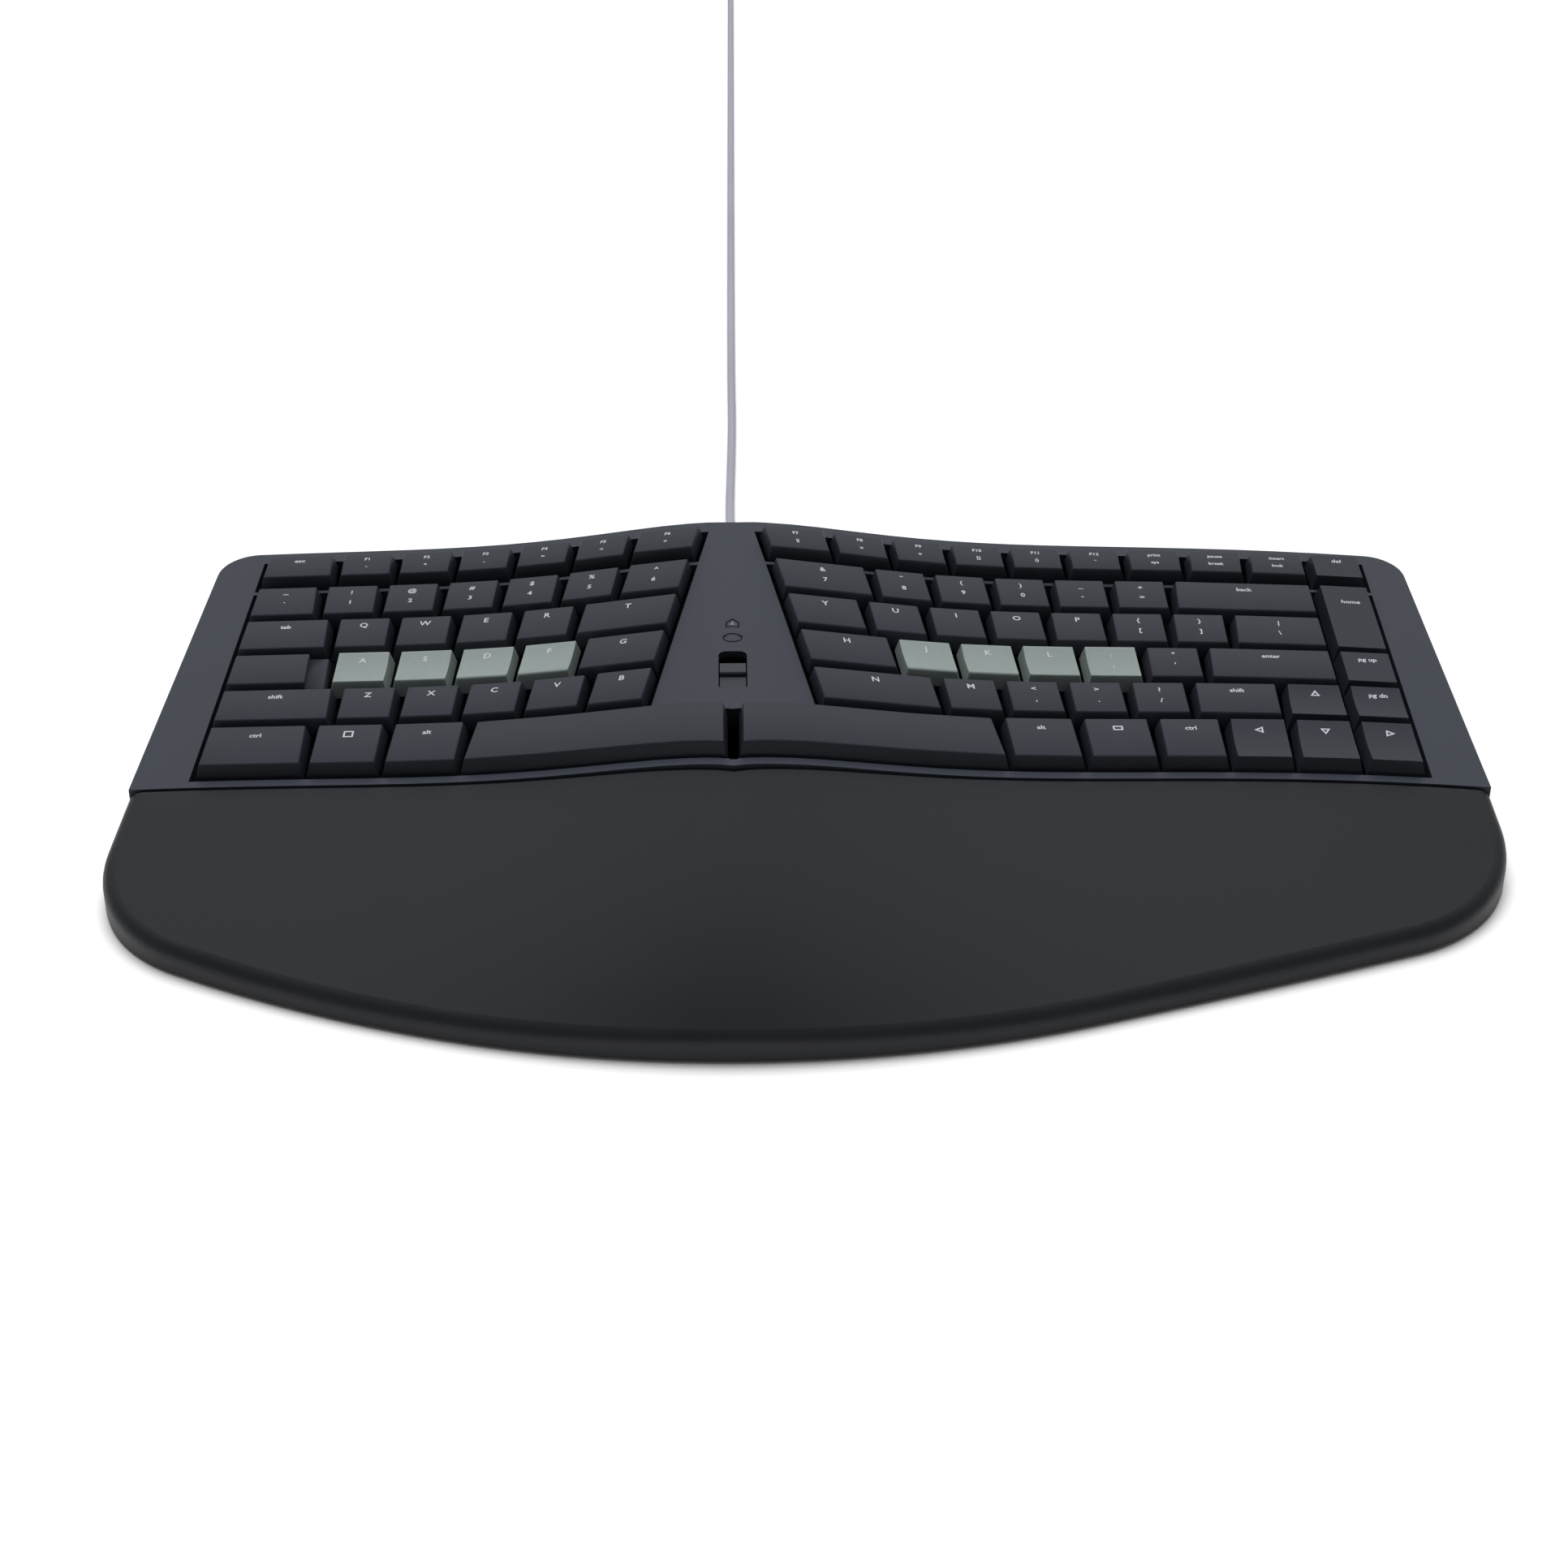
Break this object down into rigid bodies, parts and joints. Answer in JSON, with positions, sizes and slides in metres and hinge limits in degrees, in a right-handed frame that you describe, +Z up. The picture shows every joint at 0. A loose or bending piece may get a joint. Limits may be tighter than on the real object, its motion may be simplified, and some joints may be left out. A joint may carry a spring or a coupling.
{
  "type": "ergonomic keyboard",
  "caption": "Wave-shaped computer keyboard with a split key field, slide switch, full-width palm rest, fold-out tilt legs and a coiled cord with a plug.",
  "frame": {"origin": "centre of the keyboard's footprint, on the desk under the rubber feet", "axes": "+X to the typist's right, +Y away from the typist towards the cord, +Z up from the desk"},
  "size_m": [0.3978, 1.0444, 0.0447],
  "materials": {
    "key_plastic": "fine satin",
    "home_key_plastic": "milky satin",
    "case_plastic": "satin",
    "palm_plastic": "smooth matte",
    "base_plastic": "fine texture",
    "plate_steel": "matte black paint",
    "board_laminate": "solder mask",
    "switch_plastic": "matte",
    "knob_plastic": "satin",
    "lens_plastic": "clear gloss",
    "relief_rubber": "matte",
    "cord_jacket": "satin",
    "plug_plastic": "satin",
    "pin_steel": "turned",
    "foot_rubber": "matte",
    "legend_ink": "printed, matte",
    "screw_steel": "plated"
  },
  "bodies": {
    "case": {"top_case": "case_plastic", "bottom_case": "base_plastic", "palm_rest": "palm_plastic", "key_plates": "plate_steel", "circuit_boards": "board_laminate", "switch_housings": "switch_plastic", "stabiliser_guides": "switch_plastic", "mode_switch_body": "switch_plastic", "indicator_lenses": "lens_plastic", "cord_strain_relief": "relief_rubber", "cord_run": "cord_jacket", "cord_coil": "cord_jacket", "cord_plug": "plug_plastic", "tilt_leg_pins": "pin_steel", "rubber_feet": "foot_rubber", "case_screws": "screw_steel"},
    "backspace_key": {"backspace_key": "key_plastic"},
    "caps_lock_key": {"caps_lock_key": "key_plastic"},
    "enter_key": {"enter_key": "key_plastic"},
    "escape_key": {"escape_key": "key_plastic"},
    "function_keys": {"function_keys": "key_plastic"},
    "key_a": {"key_a": "home_key_plastic"},
    "key_b": {"key_b": "key_plastic"},
    "key_c": {"key_c": "key_plastic"},
    "key_d": {"key_d": "home_key_plastic"},
    "key_e": {"key_e": "key_plastic"},
    "key_f": {"key_f": "home_key_plastic"},
    "key_g": {"key_g": "key_plastic"},
    "key_h": {"key_h": "key_plastic"},
    "key_i": {"key_i": "key_plastic"},
    "key_j": {"key_j": "home_key_plastic"},
    "key_k": {"key_k": "home_key_plastic"},
    "key_l": {"key_l": "home_key_plastic"},
    "key_m": {"key_m": "key_plastic"},
    "key_n": {"key_n": "key_plastic"},
    "key_o": {"key_o": "key_plastic"},
    "key_p": {"key_p": "key_plastic"},
    "key_q": {"key_q": "key_plastic"},
    "key_r": {"key_r": "key_plastic"},
    "key_s": {"key_s": "home_key_plastic"},
    "key_t": {"key_t": "key_plastic"},
    "key_u": {"key_u": "key_plastic"},
    "key_v": {"key_v": "key_plastic"},
    "key_w": {"key_w": "key_plastic"},
    "key_x": {"key_x": "key_plastic"},
    "key_y": {"key_y": "key_plastic"},
    "key_z": {"key_z": "key_plastic"},
    "left_shift_key": {"left_shift_key": "key_plastic"},
    "left_space_bar": {"left_space_bar": "key_plastic"},
    "modifier_keys": {"modifier_keys": "key_plastic"},
    "navigation_keys": {"navigation_keys": "key_plastic"},
    "number_keys": {"number_keys": "key_plastic"},
    "punctuation_keys": {"punctuation_keys": "key_plastic"},
    "right_shift_key": {"right_shift_key": "key_plastic"},
    "right_space_bar": {"right_space_bar": "key_plastic"},
    "semicolon_key": {"semicolon_key": "home_key_plastic"},
    "tab_key": {"tab_key": "key_plastic"},
    "mode_switch_knob": {"mode_switch_knob": "knob_plastic"},
    "left_tilt_leg": {"left_tilt_leg": "base_plastic"},
    "right_tilt_leg": {"right_tilt_leg": "base_plastic"}
  },
  "joints": [
    {"name": "backspace_key_press", "type": "slide", "parent": "case", "child": "backspace_key", "axis": [0, 0.0854, -0.9963], "range_m": [0, 0.003], "stiffness_N_per_m": 150, "springref_m": -0.001},
    {"name": "caps_lock_key_press", "type": "slide", "parent": "case", "child": "caps_lock_key", "axis": [0, 0.0854, -0.9963], "range_m": [0, 0.003], "stiffness_N_per_m": 150, "springref_m": -0.001},
    {"name": "enter_key_press", "type": "slide", "parent": "case", "child": "enter_key", "axis": [0, 0.0854, -0.9963], "range_m": [0, 0.003], "stiffness_N_per_m": 150, "springref_m": -0.001},
    {"name": "escape_key_press", "type": "slide", "parent": "case", "child": "escape_key", "axis": [0, 0.0854, -0.9963], "range_m": [0, 0.003], "stiffness_N_per_m": 150, "springref_m": -0.001},
    {"name": "function_keys_press", "type": "slide", "parent": "case", "child": "function_keys", "axis": [0, 0.0854, -0.9963], "range_m": [0, 0.003], "stiffness_N_per_m": 2250, "springref_m": -0.001},
    {"name": "key_a_press", "type": "slide", "parent": "case", "child": "key_a", "axis": [0, 0.0854, -0.9963], "range_m": [0, 0.003], "stiffness_N_per_m": 150, "springref_m": -0.001},
    {"name": "key_b_press", "type": "slide", "parent": "case", "child": "key_b", "axis": [0, 0.0854, -0.9963], "range_m": [0, 0.003], "stiffness_N_per_m": 150, "springref_m": -0.001},
    {"name": "key_c_press", "type": "slide", "parent": "case", "child": "key_c", "axis": [0, 0.0854, -0.9963], "range_m": [0, 0.003], "stiffness_N_per_m": 150, "springref_m": -0.001},
    {"name": "key_d_press", "type": "slide", "parent": "case", "child": "key_d", "axis": [0, 0.0854, -0.9963], "range_m": [0, 0.003], "stiffness_N_per_m": 150, "springref_m": -0.001},
    {"name": "key_e_press", "type": "slide", "parent": "case", "child": "key_e", "axis": [0, 0.0854, -0.9963], "range_m": [0, 0.003], "stiffness_N_per_m": 150, "springref_m": -0.001},
    {"name": "key_f_press", "type": "slide", "parent": "case", "child": "key_f", "axis": [0, 0.0854, -0.9963], "range_m": [0, 0.003], "stiffness_N_per_m": 150, "springref_m": -0.001},
    {"name": "key_g_press", "type": "slide", "parent": "case", "child": "key_g", "axis": [0, 0.0854, -0.9963], "range_m": [0, 0.003], "stiffness_N_per_m": 150, "springref_m": -0.001},
    {"name": "key_h_press", "type": "slide", "parent": "case", "child": "key_h", "axis": [0, 0.0854, -0.9963], "range_m": [0, 0.003], "stiffness_N_per_m": 150, "springref_m": -0.001},
    {"name": "key_i_press", "type": "slide", "parent": "case", "child": "key_i", "axis": [0, 0.0854, -0.9963], "range_m": [0, 0.003], "stiffness_N_per_m": 150, "springref_m": -0.001},
    {"name": "key_j_press", "type": "slide", "parent": "case", "child": "key_j", "axis": [0, 0.0854, -0.9963], "range_m": [0, 0.003], "stiffness_N_per_m": 150, "springref_m": -0.001},
    {"name": "key_k_press", "type": "slide", "parent": "case", "child": "key_k", "axis": [0, 0.0854, -0.9963], "range_m": [0, 0.003], "stiffness_N_per_m": 150, "springref_m": -0.001},
    {"name": "key_l_press", "type": "slide", "parent": "case", "child": "key_l", "axis": [0, 0.0854, -0.9963], "range_m": [0, 0.003], "stiffness_N_per_m": 150, "springref_m": -0.001},
    {"name": "key_m_press", "type": "slide", "parent": "case", "child": "key_m", "axis": [0, 0.0854, -0.9963], "range_m": [0, 0.003], "stiffness_N_per_m": 150, "springref_m": -0.001},
    {"name": "key_n_press", "type": "slide", "parent": "case", "child": "key_n", "axis": [0, 0.0854, -0.9963], "range_m": [0, 0.003], "stiffness_N_per_m": 150, "springref_m": -0.001},
    {"name": "key_o_press", "type": "slide", "parent": "case", "child": "key_o", "axis": [0, 0.0854, -0.9963], "range_m": [0, 0.003], "stiffness_N_per_m": 150, "springref_m": -0.001},
    {"name": "key_p_press", "type": "slide", "parent": "case", "child": "key_p", "axis": [0, 0.0854, -0.9963], "range_m": [0, 0.003], "stiffness_N_per_m": 150, "springref_m": -0.001},
    {"name": "key_q_press", "type": "slide", "parent": "case", "child": "key_q", "axis": [0, 0.0854, -0.9963], "range_m": [0, 0.003], "stiffness_N_per_m": 150, "springref_m": -0.001},
    {"name": "key_r_press", "type": "slide", "parent": "case", "child": "key_r", "axis": [0, 0.0854, -0.9963], "range_m": [0, 0.003], "stiffness_N_per_m": 150, "springref_m": -0.001},
    {"name": "key_s_press", "type": "slide", "parent": "case", "child": "key_s", "axis": [0, 0.0854, -0.9963], "range_m": [0, 0.003], "stiffness_N_per_m": 150, "springref_m": -0.001},
    {"name": "key_t_press", "type": "slide", "parent": "case", "child": "key_t", "axis": [0, 0.0854, -0.9963], "range_m": [0, 0.003], "stiffness_N_per_m": 150, "springref_m": -0.001},
    {"name": "key_u_press", "type": "slide", "parent": "case", "child": "key_u", "axis": [0, 0.0854, -0.9963], "range_m": [0, 0.003], "stiffness_N_per_m": 150, "springref_m": -0.001},
    {"name": "key_v_press", "type": "slide", "parent": "case", "child": "key_v", "axis": [0, 0.0854, -0.9963], "range_m": [0, 0.003], "stiffness_N_per_m": 150, "springref_m": -0.001},
    {"name": "key_w_press", "type": "slide", "parent": "case", "child": "key_w", "axis": [0, 0.0854, -0.9963], "range_m": [0, 0.003], "stiffness_N_per_m": 150, "springref_m": -0.001},
    {"name": "key_x_press", "type": "slide", "parent": "case", "child": "key_x", "axis": [0, 0.0854, -0.9963], "range_m": [0, 0.003], "stiffness_N_per_m": 150, "springref_m": -0.001},
    {"name": "key_y_press", "type": "slide", "parent": "case", "child": "key_y", "axis": [0, 0.0854, -0.9963], "range_m": [0, 0.003], "stiffness_N_per_m": 150, "springref_m": -0.001},
    {"name": "key_z_press", "type": "slide", "parent": "case", "child": "key_z", "axis": [0, 0.0854, -0.9963], "range_m": [0, 0.003], "stiffness_N_per_m": 150, "springref_m": -0.001},
    {"name": "left_shift_key_press", "type": "slide", "parent": "case", "child": "left_shift_key", "axis": [0, 0.0854, -0.9963], "range_m": [0, 0.003], "stiffness_N_per_m": 150, "springref_m": -0.001},
    {"name": "left_space_bar_press", "type": "slide", "parent": "case", "child": "left_space_bar", "axis": [0, 0.0854, -0.9963], "range_m": [0, 0.003], "stiffness_N_per_m": 150, "springref_m": -0.001},
    {"name": "modifier_keys_press", "type": "slide", "parent": "case", "child": "modifier_keys", "axis": [0, 0.0854, -0.9963], "range_m": [0, 0.003], "stiffness_N_per_m": 900, "springref_m": -0.001},
    {"name": "navigation_keys_press", "type": "slide", "parent": "case", "child": "navigation_keys", "axis": [0, 0.0854, -0.9963], "range_m": [0, 0.003], "stiffness_N_per_m": 1200, "springref_m": -0.001},
    {"name": "number_keys_press", "type": "slide", "parent": "case", "child": "number_keys", "axis": [0, 0.0854, -0.9963], "range_m": [0, 0.003], "stiffness_N_per_m": 1500, "springref_m": -0.001},
    {"name": "punctuation_keys_press", "type": "slide", "parent": "case", "child": "punctuation_keys", "axis": [0, 0.0854, -0.9963], "range_m": [0, 0.003], "stiffness_N_per_m": 1500, "springref_m": -0.001},
    {"name": "right_shift_key_press", "type": "slide", "parent": "case", "child": "right_shift_key", "axis": [0, 0.0854, -0.9963], "range_m": [0, 0.003], "stiffness_N_per_m": 150, "springref_m": -0.001},
    {"name": "right_space_bar_press", "type": "slide", "parent": "case", "child": "right_space_bar", "axis": [0, 0.0854, -0.9963], "range_m": [0, 0.003], "stiffness_N_per_m": 150, "springref_m": -0.001},
    {"name": "semicolon_key_press", "type": "slide", "parent": "case", "child": "semicolon_key", "axis": [0, 0.0854, -0.9963], "range_m": [0, 0.003], "stiffness_N_per_m": 150, "springref_m": -0.001},
    {"name": "tab_key_press", "type": "slide", "parent": "case", "child": "tab_key", "axis": [0, 0.0854, -0.9963], "range_m": [0, 0.003], "stiffness_N_per_m": 150, "springref_m": -0.001},
    {"name": "mode_switch_slide", "type": "slide", "parent": "case", "child": "mode_switch_knob", "axis": [0, 0.9963, 0.0854], "range_m": [0, 0.006]},
    {"name": "left_tilt_leg_hinge", "type": "hinge", "parent": "case", "child": "left_tilt_leg", "pos_m": [-0.1382, 0.10632, 0.0036], "axis": [1, 0, 0], "range_deg": [0, 90]},
    {"name": "right_tilt_leg_hinge", "type": "hinge", "parent": "case", "child": "right_tilt_leg", "pos_m": [0.14743, 0.10048, 0.0036], "axis": [1, 0, 0], "range_deg": [0, 90]}
  ]
}
